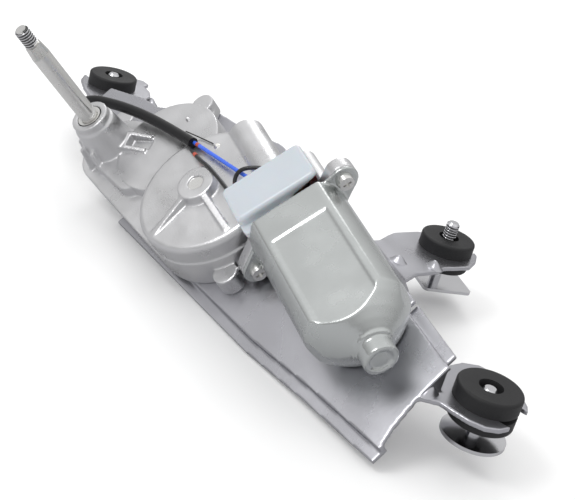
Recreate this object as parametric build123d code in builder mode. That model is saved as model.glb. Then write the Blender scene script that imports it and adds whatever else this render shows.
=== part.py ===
"""Rear wiper motor: a geared motor on a stamped bracket with three rubber-mounted ears.

The row frame has +Z along the ear bolts. Its origin is on the output shaft's axis, at the mouth
of the casting's tower. The geared unit leans over in the bracket: its plane `unit` has +Z along
the output shaft and +X along the motor's axis, towards the yoke's closed end.
"""
from build123d import *

import os
from math import asin, atan2, cos, degrees, hypot, pi, radians, sin, tan

# ---------------------------------------------------------------- driving dimensions, in mm
# attitude of the unit in the bracket
unit_tilt = 46.0            # lean of the output shaft from the ear bolts, degrees
motor_turn = -14.0          # motor axis from the bracket's long side, in the plate's plane, degrees

# bracket
sheet = 2.0                 # thickness of the bracket's steel sheet
tower_height = 39.0         # tower's mouth above the bracket's plate
ear_drop = 19.1             # ear plates' top below the tower's mouth
ear_a = (-90.0, 61.5)       # grommet centres in the row's X and Y
ear_b = (108.5, 140.0)
ear_c = (217.6, 61.5)
rim_step = 3.0              # the plate's margins lie this much lower than its middle
rim_width = 5.0             # width of the margins

# grommets and captive bolts
grommet_radius = 13.0
grommet_upper = 6.4         # thickness of the grommet above the ear
grommet_lower = 6.0
grommet_neck = 8.2          # neck that sits in the ear's fork
grommet_hole = 4.85
lip_thickness = 1.6         # rubber lip inside the hole that keeps the bolt
bolt_radius = 3.0
bolt_pitch = 1.0
bolt_slack = 0.25           # radial gap from the bolt to the lip
bolt_disc_radius = 12.8
bolt_disc = 1.5
bolt_plate = (25.0, 23.0)   # the long bolt of ear b ends in a plate in place of the disc
bolt_plate_turn = 70.0
bolt_plate_shift = 4.0
bolt_tips = {"a": 7.0, "b": 14.0, "c": 5.6}        # tips above the ear plate
bolt_lengths = {"a": 21.0, "b": 31.0, "c": 20.0}   # tip to disc
bolt_turns = 7              # thread turns, from just under the tip
bolt_shank = 2.65           # rolled blank under the thread

# geared unit: places are (x, y) in the unit's plane, heights are above the bracket's plate
wheel_centre = (66.0, 28.0)
dome_centre = (68.0, 30.0)
chamber_centre = (25.0, 23.5)
motor_side = 56.5           # motor axis, along the unit's Y
motor_height = 16.5         # motor axis above the plate
case_wall = 2.6
base_height = 6.0
dome_radius = 32.3
dome_height = 23.0
chamber_radius = 25.5
chamber_height = 19.5
foot_radius = 18.5          # casting round the foot of the tower
foot_height = 14.0
tower_radius = 9.0          # at the mouth
tower_root_radius = 12.5
tower_bore = 6.1
tower_rib = 2.0
rib_top = 29.0              # top of the ribs round the tower
fairing = ((6.0, 0.0), (29.0, 2.0))        # low body that runs from the tower towards the dome
fairing_height = 19.0
fairing_end = 8.0           # radius of its far end
gusset_width = 10.0         # over the two webs between the tower and the chamber
gusset_web = 2.2
gusset_top = 22.5
gusset_reach = 24.0
boss_radius = 9.4
boss_height = 27.0
dome_rib = 3.0
tunnel_radius = 8.6
tunnel_start = 45.0
neck_start = 82.0
neck_foot = 1.0             # underside of the neck above the plate
mouth_x = 110.0             # casting's face that the yoke is screwed to
neck_half_width = 20.6
neck_height = 24.0
cover_plate = 1.5
lug_places = [(103.0, 19.5), (-1.0, 46.3), (-25.0, 9.0)]
lug_radius = 5.6
lug_height = 9.0

# output shaft and its linkage
shaft_radius = 4.25
journal_radius = 4.5        # inside the tower
shaft_tip = 94.5            # above the plate
thread_radius = 3.0
thread_length = 9.5
thread_pitch = 1.0
thread_depth = 0.5
knurl_length = 6.0
knurl_teeth = 36
running = 0.04              # radial clearance of running fits
lever_arm = 9.5
crank_arm = 6.6
lever_thickness = 3.0
lever_height = 8.4          # underside of the output lever
rod_thickness = 3.0
rod_width = 7.0
rod_height = 5.0            # underside of the connecting rod
eye_radius = 5.0            # ends of the lever and the rod
pin_radius = 2.5

# worm drive
gear_module = 1.0
wheel_teeth = 47
wheel_thickness = 7.4
axle_radius = 3.6
worm_pitch_radius = 5.0
worm_length = 24.0

# motor
yoke_wall = 1.8
yoke_radius = 21.4          # of its round sides
yoke_half_height = 15.4     # from the motor axis to its two flats
yoke_ridge = 2.5            # rounding where a flat meets a round side
yoke_length = 72.0          # from the flange to the boss's root
yoke_shoulder = 12.4        # length of the drawn-in end
yoke_boss_radius = 7.0
yoke_boss_length = 8.0
flange_thickness = 1.6
screw_offset = (24.6, 8.6)  # yoke screws from the motor axis, sideways and up
screw_radius = 2.0
screw_head = 3.7
screw_head_height = 2.6
motor_shaft_radius = 3.0
rotor_radius = 12.2
rotor_room = 16.0           # from the rear windings to the yoke's closed end
commutator_room = 18.0      # from the flange to the core
rotor_slots = 8
commutator_radius = 7.0
magnet_gap = 0.8

# ---------------------------------------------------------------- planes and helpers
tilt_sin, tilt_cos = sin(radians(unit_tilt)), cos(radians(unit_tilt))
shaft_dir = Vector(0, -tilt_sin, tilt_cos)
slope_dir = Vector(0, tilt_cos, tilt_sin)
turn_sin, turn_cos = sin(radians(motor_turn)), cos(radians(motor_turn))
motor_dir = Vector(1, 0, 0) * turn_cos + slope_dir * turn_sin

unit = Plane(origin=(0, 0, 0), x_dir=motor_dir, z_dir=shaft_dir)
unit_base = unit.offset(-tower_height)
plate = Plane(origin=unit_base.origin, x_dir=(1, 0, 0), z_dir=shaft_dir)
ears = Plane.XY.offset(-ear_drop)
motor = Plane(
    origin=unit_base.from_local_coords((0, motor_side, motor_height)),
    x_dir=unit.y_dir,
    z_dir=unit.x_dir,
)


def level(height):
    """The unit's plane at a height above the bracket's plate."""
    return unit_base.offset(height)


def upright(x, y):
    """The upright axis of the unit at a place in its plane."""
    return Axis(unit_base.from_local_coords((x, y, 0)), shaft_dir)


def section_at(place):
    """A plane holding the upright axis at a place: local X runs outwards and local Y upwards."""
    return Plane(origin=unit_base.from_local_coords((*place, 0)), x_dir=unit.x_dir, z_dir=-unit.y_dir)


def bolt_section(place):
    """A plane holding the axis of an ear bolt: local Y is the row's Z above the ear plate."""
    return Plane(origin=(*place, -ear_drop), x_dir=(1, 0, 0), z_dir=(0, -1, 0))


motor_axis = Axis(motor.origin, motor_dir)
motor_section = Plane(origin=motor.origin, x_dir=motor_dir, z_dir=-unit.y_dir)


def save(builder, label):
    """Label a finished sub-part and write it to its STEP file."""
    builder.part.label = label
    export_step(builder.part, f"parts/{label}.step")


os.makedirs("parts", exist_ok=True)

# ---------------------------------------------------------------- bracket
fork_slot = grommet_neck + 0.1             # half-width of a fork's slot
fork_reach = 30.0
fork_angles = {"a": 180.0, "b": 100.0, "c": 20.0}
ear_places = {"a": ear_a, "b": ear_b, "c": ear_c}
screw_shank = 2.4                          # case screws
screw_clearance = 0.3
fold_slope = (tower_height * tilt_cos - ear_drop) / tilt_sin    # ear level, along the plate's slope
fold_y = plate.from_local_coords((0, fold_slope, 0)).Y
lower_edge = [(20, -22.5), (134, -22.2), (171, -19.5), (213, -17.8)]
right_edge = [(205, 31.5), (176, 37.5)]
plate_start = -62.0
upper_edge = [
    right_edge[1], (98, 50), (60, 55), (26, 50), (3, 48.5), (-12, 37), (-23, 32), (-36, 31), (plate_start, 24),
]
plate_end = 208.5
leg_top_x = (100.0, 172.0)                 # where the leg to ear B leaves the plate's upper edge
leg_foot_x = (96.0, 134.0)
leg_foot_y = 103.5                         # at its left end
leg_head = []
for x in leg_top_x:
    along = (x - upper_edge[1][0]) / (upper_edge[0][0] - upper_edge[1][0])
    slope = upper_edge[1][1] + along * (upper_edge[0][1] - upper_edge[1][1])
    leg_head.append(plate.from_local_coords((x, slope, 0)))
leg_left = Vector(leg_foot_x[0], leg_foot_y, -ear_drop)
leg_normal = (leg_head[1] - leg_head[0]).cross(leg_left - leg_head[0]).normalized()
leg_right_y = leg_foot_y - (leg_foot_x[1] - leg_foot_x[0]) * leg_normal.X / leg_normal.Y
leg = Plane(origin=leg_head[0], x_dir=leg_head[1] - leg_head[0], z_dir=leg_normal)
ear_outlines = {
    "a": [
        (plate_start + 4, fold_y), (plate_start + 4, 74), (-65, 73.7), (-71, 73.6), (-75.5, 78.4), (-81.6, 81.3),
        (-89.9, 82.5), (-93, 86.8), (-99, 86.5), (-103, 82), (-105, 72), (-105, 52), (-98, 46.5), (-85.4, 42.2),
        (-72, 40), (-68, fold_y),
    ],
    "b": [
        (leg_foot_x[0], leg_foot_y - sheet), (leg_foot_x[1], leg_right_y - sheet), (128, 105), (127.6, 118),
        (125.6, 124.4), (126.8, 140), (122.5, 148), (117.5, 153.5), (106, 158), (95, 150), (90.7, 138),
        (90.2, 123), (92.6, 116.5), (leg_foot_x[0] + 0.5, 108),
    ],
    "c": [
        (plate_end - 8.5, fold_y), (plate_end + 1, fold_y), (plate_end + 5.5, 41.5), (plate_end + 10.5, 42.5),
        (226.4, 44.7), (231.4, 48), (234, 53), (234, 62), (228.6, 73.5), (224.8, 77.2), (218, 80.5), (206, 82),
        (197, 78), (193.6, 71.5), (plate_end - 14, 60), (plate_end - 12, 45),
    ],
}


def shifted(points, distance):
    """The same outline moved along the plate's slope."""
    return [(x, y + distance) for x, y in points]


step_line = shifted(lower_edge, rim_width)
right_step = shifted(right_edge, -rim_width)
with BuildPart() as bracket:
    # middle of the plate, between the folds to the ears
    with BuildSketch(plate):
        with BuildLine():
            Polyline(
                *step_line, (plate_end + 2, -4), (plate_end, fold_slope), (plate_end, right_step[0][1]),
                *right_step, *upper_edge, (plate_start, fold_slope), (-30, -4), close=True,
            )
        make_face()
    extrude(amount=-sheet)
    # margins, one step lower
    with BuildSketch(plate.offset(-rim_step)):
        for edge, inner in ((lower_edge, step_line), (right_edge, right_step)):
            with BuildLine():
                Polyline(*edge, *reversed(inner), close=True)
            make_face()
    extrude(amount=-sheet)
    # webs of the steps between the middle and its margins
    with BuildSketch(plate):
        for edge, side in ((step_line, 1), (right_step, -1)):
            with BuildLine():
                Polyline(*edge, *reversed(shifted(edge, side * sheet)), close=True)
            make_face()
    extrude(amount=-rim_step - sheet)
    # ears, level in the row, each with a fork for its grommet's neck
    for name, place in ear_places.items():
        with BuildSketch(ears):
            with BuildLine():
                Polyline(*ear_outlines[name], close=True)
            make_face()
            with Locations(Location((*place, 0), (0, 0, fork_angles[name]))):
                Circle(fork_slot, mode=Mode.SUBTRACT)
                Rectangle(fork_reach, 2 * fork_slot, align=(Align.MIN, Align.CENTER), mode=Mode.SUBTRACT)
        extrude(amount=-sheet)
    # webs that close the wedge between the sloping plate and ears A and C
    for web_x, web_slope in ((plate_start, upper_edge[-1][1]), (plate_end - sheet, right_step[0][1])):
        with BuildSketch(Plane(origin=(web_x, 0, 0), x_dir=(0, 1, 0), z_dir=(1, 0, 0))):
            with BuildLine():
                wedge_top = plate.from_local_coords((0, web_slope - 1, -sheet / 2))
                Polyline(
                    (fold_y - 1, -ear_drop - sheet), (wedge_top.Y, -ear_drop - sheet),
                    (wedge_top.Y, wedge_top.Z), (fold_y - 1, -ear_drop - sheet / 2), close=True,
                )
            make_face()
        extrude(amount=sheet)
    # leg from the plate's upper edge down to ear B
    leg_corners = [leg_head[0], leg_head[1], Vector(leg_foot_x[1], leg_right_y, -ear_drop), leg_left]
    with BuildSketch(leg):
        with BuildLine():
            Polyline(*[(leg.to_local_coords(corner).X, leg.to_local_coords(corner).Y) for corner in leg_corners],
                     close=True)
        make_face()
    extrude(amount=-sheet)
    # holes for the casting's screws
    with BuildSketch(level(0)):
        with Locations(*lug_places):
            Circle(screw_shank + screw_clearance)
    extrude(amount=-sheet, mode=Mode.SUBTRACT)
save(bracket, "bracket")

# ---------------------------------------------------------------- grommets and captive bolts
for name, place in ear_places.items():
    with BuildPart() as grommet:
        with BuildSketch(bolt_section(place)):
            with BuildLine():
                Polyline(
                    (grommet_hole, grommet_upper), (grommet_radius, grommet_upper), (grommet_radius, 0),
                    (grommet_neck, 0), (grommet_neck, -sheet), (grommet_radius, -sheet),
                    (grommet_radius, -sheet - grommet_lower), (grommet_hole, -sheet - grommet_lower),
                    (grommet_hole, -sheet / 2 - lip_thickness / 2),
                    (bolt_radius + bolt_slack, -sheet / 2 - lip_thickness / 2),
                    (bolt_radius + bolt_slack, -sheet / 2 + lip_thickness / 2),
                    (grommet_hole, -sheet / 2 + lip_thickness / 2), close=True,
                )
            make_face()
        revolve(axis=Axis((*place, 0), (0, 0, 1)))
        rims = grommet.edges().filter_by(GeomType.CIRCLE).filter_by(lambda e: e.radius > grommet_radius - 0.1)
        fillet(rims.sort_by(Axis.Z)[-1], radius=1.2)
        fillet(grommet.edges().filter_by(GeomType.CIRCLE).filter_by(
            lambda e: e.radius > grommet_radius - 0.1).sort_by(Axis.Z)[0], radius=1.2)
    save(grommet, f"grommet_{name}")

    tip = bolt_tips[name]
    disc_top = tip - bolt_lengths[name]
    with BuildPart() as bolt:
        with BuildSketch(bolt_section(place)):
            with BuildLine():
                crests = []
                for turn in range(bolt_turns):
                    top = tip - 1.0 - turn * bolt_pitch
                    crests += [
                        (bolt_radius, top), (bolt_radius, top - 0.4 * bolt_pitch),
                        (bolt_radius - 0.5, top - 0.7 * bolt_pitch),
                    ]
                Polyline(
                    (0, tip), (bolt_radius - 0.8, tip), *crests[:-1], (bolt_shank, crests[-1][1]),
                    (bolt_shank, disc_top), (0, disc_top), close=True,
                )
            make_face()
        revolve(axis=Axis((*place, 0), (0, 0, 1)))
        with BuildSketch(ears.offset(disc_top)):
            if name == "b":
                with Locations(Location((place[0], place[1] + bolt_plate_shift, 0), (0, 0, bolt_plate_turn))):
                    RectangleRounded(*bolt_plate, 2.5)
            else:
                with Locations(place):
                    Circle(bolt_disc_radius)
        extrude(amount=-bolt_disc)
    save(bolt, f"bolt_{name}")

# ---------------------------------------------------------------- die-cast gear case
side_clearance = 1.0                       # ledge that the gear cover seats on
dome_skin = 2.2
inner_dome = dome_radius - case_wall
inner_foot = foot_radius - case_wall
chain_height = lever_height + lever_thickness + 0.6       # roof over the lever, at the foot
dome_roof = dome_height - dome_skin
neck_centre = (neck_foot + neck_height) / 2 - motor_height    # from the motor axis
neck_depth = neck_height - neck_foot
cavity_start = neck_start + 4
neck_inner = neck_half_width - case_wall
window_length, window_width = 18.0, 24.0
ear_thickness = 6.0                        # of the case's ears for the yoke screws
yoke_ear = 6.2                             # their radius
yoke_screw_places = [screw_offset, (-screw_offset[0], -screw_offset[1])]
mouth_height = tower_height - 0.5                         # casting ends just under the origin
stem_start = tower_height - 0.1
clip_thickness = 1.0
clip_seat = mouth_height - clip_thickness - 0.1           # heights in the tower
seal_seat = clip_seat - 2.3
bush_length = 7.0
upper_bush_bottom = seal_seat - bush_length - 0.5
lower_bush_bottom = chain_height + 0.2


def drop_shape(circles):
    """A sketch of circles joined by a taut outline, on the current plane."""
    for place, radius in circles:
        with Locations(place):
            Circle(radius)
    make_hull()


def yoke_ear_shape(side, radius):
    """The outline of one ear for a yoke screw, on the motor's section plane."""
    drop_shape((((side * screw_offset[0], side * screw_offset[1]), radius), ((side * 15, 0), radius)))


with BuildPart() as gear_case:
    # foot: one flat drop-shaped base under tower and dome, with the screw lugs
    with BuildSketch(level(0)):
        drop_shape((((0, 0), foot_radius), (dome_centre, dome_radius + 1.2)))
    extrude(amount=foot_height)
    for place, partner in zip(lug_places, (dome_centre, chamber_centre, (0, 0))):
        with BuildSketch(level(0)):
            drop_shape(((place, lug_radius), (partner, lug_radius)))
        extrude(amount=base_height - 1)
        with BuildSketch(level(0)):
            with Locations(place):
                Circle(lug_radius)
        extrude(amount=lug_height)
    # wheel dome with its boss, flat chamber beside it, and the tower's foot
    with BuildSketch(level(0)):
        with Locations(dome_centre):
            Circle(dome_radius + 1.0)
    extrude(amount=dome_height, taper=2)
    dome_rim = gear_case.edges().filter_by(GeomType.CIRCLE).filter_by(
        lambda e: abs(unit_base.to_local_coords(e @ 0).Z - dome_height) < 0.01)
    fillet(dome_rim, radius=2.6)
    with BuildSketch(level(0)):
        with Locations(chamber_centre):
            Circle(chamber_radius + 0.8)
    extrude(amount=chamber_height, taper=2)
    with BuildSketch(level(0)):
        Circle(foot_radius)
    extrude(amount=foot_height, taper=4)
    # low body beside the dome, then the conical tower with ribs down its outer side
    with BuildSketch(level(foot_height - 1)):
        drop_shape(((fairing[0], tower_root_radius - 1), (fairing[1], fairing_end)))
    extrude(amount=fairing_height - foot_height + 1, taper=8)
    with BuildSketch(section_at((0, 0))):
        with BuildLine():
            Polyline(
                (0, foot_height - 2), (tower_root_radius, foot_height - 2), (tower_radius + 0.8, tower_height - 5),
                (tower_radius, tower_height - 4), (tower_radius, mouth_height), (0, mouth_height), close=True,
            )
        make_face()
    revolve(axis=upright(0, 0))
    for turn in (-150, -115, -80, -45, 170):
        side = unit.x_dir * cos(radians(turn)) + unit.y_dir * sin(radians(turn))
        rib_plane = Plane(origin=unit_base.origin, x_dir=side, z_dir=side.cross(shaft_dir))
        with BuildSketch(rib_plane):
            with BuildLine():
                Polyline(
                    (tower_bore + 1, foot_height - 1), (foot_radius - 3, foot_height - 1),
                    (tower_root_radius + 0.8, rib_top - 3), (tower_bore + 1, rib_top), close=True,
                )
            make_face()
        extrude(amount=tower_rib / 2, both=True)
    # dome boss that holds the wheel's axle, and two ribs that run from it
    with BuildSketch(level(dome_height - 1)):
        with Locations(wheel_centre):
            Circle(boss_radius)
    extrude(amount=boss_height - dome_height + 1, taper=8)
    for turn, reach in ((-72, 28), (4, 31)):
        side = unit.x_dir * cos(radians(turn)) + unit.y_dir * sin(radians(turn))
        foot = unit_base.from_local_coords((*wheel_centre, dome_height - 1))
        with BuildSketch(Plane(origin=foot, x_dir=side, z_dir=side.cross(shaft_dir))):
            with BuildLine():
                Polyline((boss_radius - 2, 0), (reach, 0), (reach, 1.2), (boss_radius - 2, 4.6), close=True)
            make_face()
        extrude(amount=dome_rib / 2, both=True)
    # two webs that prop the tower against the chamber
    prop = unit.x_dir * chamber_centre[0] + unit.y_dir * chamber_centre[1]
    prop_plane = Plane(origin=unit_base.origin, x_dir=prop, z_dir=prop.cross(shaft_dir))
    with BuildSketch(prop_plane):
        with BuildLine():
            Polyline(
                (tower_bore + 1, foot_height - 1), (gusset_reach, foot_height - 1), (gusset_reach, chamber_height + 1),
                (tower_radius + 4, gusset_top), (tower_bore + 1, gusset_top), close=True,
            )
        make_face()
    extrude(amount=gusset_width / 2, both=True)
    with BuildSketch(prop_plane):
        Rectangle(gusset_reach + 1, gusset_top + 1, align=(Align.MIN, Align.MIN))
        Rectangle(tower_root_radius + 0.5, gusset_top + 1, align=(Align.MIN, Align.MIN), mode=Mode.SUBTRACT)
        Rectangle(gusset_reach + 1, chamber_height - 1, align=(Align.MIN, Align.MIN), mode=Mode.SUBTRACT)
    extrude(amount=gusset_width / 2 - gusset_web, both=True, mode=Mode.SUBTRACT)
    # worm tunnel and the neck that carries the yoke
    with BuildSketch(motor.offset(tunnel_start)):
        Circle(tunnel_radius)
    extrude(amount=neck_start - tunnel_start + 2)
    with BuildSketch(motor.offset(neck_start)):
        with Locations((0, neck_centre)):
            RectangleRounded(2 * neck_half_width, neck_depth, 5)
    extrude(amount=mouth_x - neck_start)
    for side in (1, -1):
        with BuildSketch(motor.offset(mouth_x - ear_thickness)):
            yoke_ear_shape(side, yoke_ear)
        extrude(amount=ear_thickness)
    # hollow: link chamber from below, wheel chamber, worm bore and neck
    with BuildSketch(level(0)):
        drop_shape((((0, 0), inner_foot), (dome_centre, inner_dome)))
    extrude(amount=chain_height, mode=Mode.SUBTRACT)
    with BuildSketch(level(0)):
        with Locations(dome_centre):
            Circle(inner_dome)
    extrude(amount=dome_roof, mode=Mode.SUBTRACT)
    with BuildSketch(level(0)):
        drop_shape((((0, 0), inner_foot + side_clearance), (dome_centre, inner_dome + side_clearance)))
    extrude(amount=cover_plate, mode=Mode.SUBTRACT)
    with BuildSketch(motor.offset(tunnel_start + case_wall)):
        Circle(tunnel_radius - case_wall)
    extrude(amount=cavity_start - tunnel_start, mode=Mode.SUBTRACT)
    with BuildSketch(motor.offset(cavity_start)):
        with Locations((0, neck_centre)):
            RectangleRounded(2 * neck_inner, neck_depth - 2 * case_wall, 3)
    extrude(amount=mouth_x - cavity_start, mode=Mode.SUBTRACT)
    # window in the neck's roof, under the terminal cover
    with BuildSketch(level(motor_height)):
        with Locations((mouth_x, motor_side)):
            Rectangle(window_length, window_width, align=(Align.MAX, Align.CENTER))
    extrude(amount=neck_height, mode=Mode.SUBTRACT)
    # tower bore, axle hole and screw holes
    with BuildSketch(level(chain_height - 1)):
        Circle(tower_bore)
    extrude(amount=tower_height, mode=Mode.SUBTRACT)
    with BuildSketch(level(dome_roof - 1)):
        with Locations(wheel_centre):
            Circle(axle_radius)
    extrude(amount=boss_height, mode=Mode.SUBTRACT)
    with BuildSketch(level(0)):
        with Locations(*lug_places):
            Circle(screw_shank)
    extrude(amount=lug_height - 2, mode=Mode.SUBTRACT)
    with BuildSketch(motor.offset(mouth_x - ear_thickness)):
        with Locations(*yoke_screw_places):
            Circle(screw_radius)
    extrude(amount=ear_thickness, mode=Mode.SUBTRACT)
save(gear_case, "gear_case")

with BuildPart() as gear_cover:
    with BuildSketch(level(0)):
        cover_edge = side_clearance - 0.1
        drop_shape((((0, 0), inner_foot + cover_edge), (dome_centre, inner_dome + cover_edge)))
    extrude(amount=cover_plate)
save(gear_cover, "gear_cover")


def pan_screw(seat, shank_radius, shank_length, head_radius, head_height):
    """A pan-head screw with a cross recess: the seat plane lies under its head and faces outwards."""
    with BuildSketch(seat) as head:
        Circle(head_radius)
    extrude(head.sketch, amount=head_height, taper=12)
    with BuildSketch(seat) as shank:
        Circle(shank_radius)
    extrude(shank.sketch, amount=-shank_length)
    with BuildSketch(seat.offset(head_height)) as cross:
        Rectangle(head_radius, head_radius / 4)
        Rectangle(head_radius / 4, head_radius)
    extrude(cross.sketch, amount=-head_height / 2, mode=Mode.SUBTRACT)


with BuildPart() as case_screws:
    for x, y in lug_places:
        foot = unit_base.from_local_coords((x, y, -sheet))
        seat = Plane(origin=foot, x_dir=motor_dir, z_dir=-shaft_dir)
        pan_screw(seat, screw_shank, sheet + lug_height - 2.5, 4.4, 2.8)
save(case_screws, "case_screws")

# ---------------------------------------------------------------- output shaft and linkage
clip_groove = journal_radius - 0.6
knurl_start = shaft_tip - thread_length - knurl_length
knurl_tip = thread_radius + 0.6


def knurl_points(radius, depth):
    """Corners of a knurled section: alternate crests and roots."""
    points = []
    for index in range(2 * knurl_teeth):
        angle = pi * index / knurl_teeth
        reach = radius if index % 2 == 0 else radius - depth
        points.append((reach * cos(angle), reach * sin(angle)))
    return points


def ring_grooves(radius, start, turns, pitch, depth):
    """Profile points of a thread drawn as ring grooves, from a height upwards."""
    points = []
    for turn in range(turns):
        points += [(radius, start + turn * pitch), (radius - depth, start + (turn + 0.5) * pitch)]
    return points


with BuildPart() as output_shaft:
    with BuildSketch(section_at((0, 0))):
        with BuildLine():
            Polyline(
                (0, lever_height), (journal_radius, lever_height), (journal_radius, clip_seat),
                (clip_groove, clip_seat), (clip_groove, stem_start), (shaft_radius, stem_start),
                (shaft_radius, knurl_start), (knurl_tip - 0.4, knurl_start),
                (knurl_tip - 0.4, shaft_tip - thread_length), (thread_radius - thread_depth, shaft_tip - thread_length),
                *ring_grooves(thread_radius, shaft_tip - thread_length + 0.6, 8, thread_pitch, thread_depth),
                (thread_radius - 0.6, shaft_tip), (0, shaft_tip), close=True,
            )
        make_face()
    revolve(axis=upright(0, 0))
    with BuildSketch(level(knurl_start)) as knurl_root:
        Polygon(*knurl_points(shaft_radius, 0.35), align=None)
    with BuildSketch(level(shaft_tip - thread_length)) as knurl_end:
        Polygon(*knurl_points(knurl_tip, 0.25), align=None)
    loft([knurl_root.sketch, knurl_end.sketch], ruled=True)
save(output_shaft, "output_shaft")

link_angle = atan2(wheel_centre[1], wheel_centre[0]) + pi / 2       # pins stand square to the centre line
lever_pin_place = (lever_arm * cos(link_angle), lever_arm * sin(link_angle))
crank_pin_place = (wheel_centre[0] + crank_arm * cos(link_angle), wheel_centre[1] + crank_arm * sin(link_angle))
rod_turn = degrees(atan2(crank_pin_place[1] - lever_pin_place[1], crank_pin_place[0] - lever_pin_place[0]))
rod_length = hypot(crank_pin_place[0] - lever_pin_place[0], crank_pin_place[1] - lever_pin_place[1])
output_swing = degrees(asin(crank_arm / lever_arm))
print("rod", round(rod_length, 3), "swing", round(output_swing, 2))

with BuildPart() as output_lever:
    with BuildSketch(level(lever_height)):
        drop_shape((((0, 0), 8.0), (lever_pin_place, eye_radius)))
    extrude(amount=lever_thickness)
    with BuildSketch(level(lever_height)):
        Circle(journal_radius)
        with Locations(lever_pin_place):
            Circle(pin_radius)
    extrude(amount=lever_thickness, mode=Mode.SUBTRACT)
save(output_lever, "output_lever")

pin_head = 4.2
with BuildPart() as lever_pin:
    with BuildSketch(level(rod_height - 0.2 - 1.4)):
        with Locations(lever_pin_place):
            Circle(pin_head)
    extrude(amount=1.4)
    with BuildSketch(level(rod_height - 0.2)):
        with Locations(lever_pin_place):
            Circle(pin_radius)
    extrude(amount=lever_height + lever_thickness - rod_height + 0.2)
save(lever_pin, "lever_pin")

with BuildPart() as connecting_rod:
    with BuildSketch(level(rod_height)):
        with Locations(Location((*lever_pin_place, 0), (0, 0, rod_turn))):
            with Locations((rod_length / 2, 0)):
                Rectangle(rod_length, rod_width)
        with Locations(lever_pin_place, crank_pin_place):
            Circle(eye_radius)
    extrude(amount=rod_thickness)
    with BuildSketch(level(rod_height)):
        with Locations(lever_pin_place):
            Circle(pin_radius + running)
        with Locations(crank_pin_place):
            Circle(pin_radius)
    extrude(amount=rod_thickness, mode=Mode.SUBTRACT)
save(connecting_rod, "connecting_rod")

wheel_bottom = motor_height - wheel_thickness / 2
crank_gap = 0.3                                 # crank pin's end to the wheel it drives
with BuildPart() as crank_pin:
    with BuildSketch(level(rod_height - 1.0)):
        with Locations(crank_pin_place):
            Circle(pin_head)
    extrude(amount=1.0)
    with BuildSketch(level(rod_height)):
        with Locations(crank_pin_place):
            Circle(pin_radius)
    extrude(amount=wheel_bottom - crank_gap - rod_height)
save(crank_pin, "crank_pin")


def ring(plane, outer, inner, thickness, place=(0, 0)):
    """A flat ring or a bush that stands on a plane."""
    with BuildSketch(plane) as outline:
        with Locations(place):
            Circle(outer)
            Circle(inner, mode=Mode.SUBTRACT)
    extrude(outline.sketch, amount=thickness)


with BuildPart() as lever_washer:
    ring(level(chain_height - 0.5), 8.0, journal_radius + running, 0.5)
save(lever_washer, "lever_washer")
with BuildPart() as bush_lower:
    ring(level(lower_bush_bottom), tower_bore, journal_radius + running, bush_length)
save(bush_lower, "bush_lower")
with BuildPart() as bush_upper:
    ring(level(upper_bush_bottom), tower_bore, journal_radius + running, bush_length)
save(bush_upper, "bush_upper")
with BuildPart() as shaft_seal:
    ring(level(seal_seat), tower_bore, journal_radius + running, 2.0)
save(shaft_seal, "shaft_seal")
with BuildPart() as shaft_clip:
    ring(level(clip_seat), tower_bore - 0.4, clip_groove, clip_thickness)
save(shaft_clip, "shaft_clip")

# ---------------------------------------------------------------- worm wheel on its axle
wheel_pitch_radius = gear_module * wheel_teeth / 2
wheel_tip = wheel_pitch_radius + 0.5 * gear_module
wheel_root = wheel_pitch_radius - 1.4 * gear_module
tooth_half_tip = 0.42 * gear_module
tooth_half_root = 0.8 * gear_module
axle_bearing = 3.0
clip_recess = 1.3
with BuildPart() as worm_wheel:
    with BuildSketch(level(wheel_bottom)):
        tooth_points = []
        for index in range(wheel_teeth):
            middle = pi / 2 + 2 * pi * index / wheel_teeth
            for reach, half in (
                (wheel_root, -tooth_half_root), (wheel_tip, -tooth_half_tip),
                (wheel_tip, tooth_half_tip), (wheel_root, tooth_half_root),
            ):
                angle = middle + half / reach
                tooth_points.append((wheel_centre[0] + reach * cos(angle), wheel_centre[1] + reach * sin(angle)))
        Polygon(*tooth_points, align=None)
    extrude(amount=wheel_thickness)
    with BuildSketch(level(wheel_bottom)):
        with Locations(wheel_centre):
            Circle(axle_bearing + running)
    extrude(amount=wheel_thickness, mode=Mode.SUBTRACT)
    with BuildSketch(level(wheel_bottom)):
        with Locations(wheel_centre):
            Circle(axle_bearing + 1.8)
    extrude(amount=clip_recess, mode=Mode.SUBTRACT)
    with BuildSketch(level(wheel_bottom + wheel_thickness / 2)):
        with Locations(wheel_centre):
            Circle(wheel_root - 3)
            Circle(axle_bearing + 4, mode=Mode.SUBTRACT)
    extrude(amount=wheel_thickness / 2, mode=Mode.SUBTRACT)
save(worm_wheel, "worm_wheel")

axle_sink = 0.6                                 # plug's face below the boss's rim
with BuildPart() as wheel_axle:
    with BuildSketch(level(dome_roof)):
        with Locations(wheel_centre):
            Circle(axle_radius)
    extrude(amount=boss_height - axle_sink - dome_roof)
    with BuildSketch(level(wheel_bottom + 0.2)):
        with Locations(wheel_centre):
            Circle(axle_bearing)
    extrude(amount=dome_roof - wheel_bottom - 0.2)
    with BuildSketch(level(wheel_bottom + 0.4)):
        with Locations(wheel_centre):
            Circle(axle_bearing)
            Circle(axle_bearing - 0.4, mode=Mode.SUBTRACT)
    extrude(amount=0.7, mode=Mode.SUBTRACT)
save(wheel_axle, "wheel_axle")
with BuildPart() as wheel_clip:
    ring(level(wheel_bottom + 0.4), axle_bearing + 1.4, axle_bearing - 0.4, 0.7, wheel_centre)
save(wheel_clip, "wheel_clip")

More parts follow.
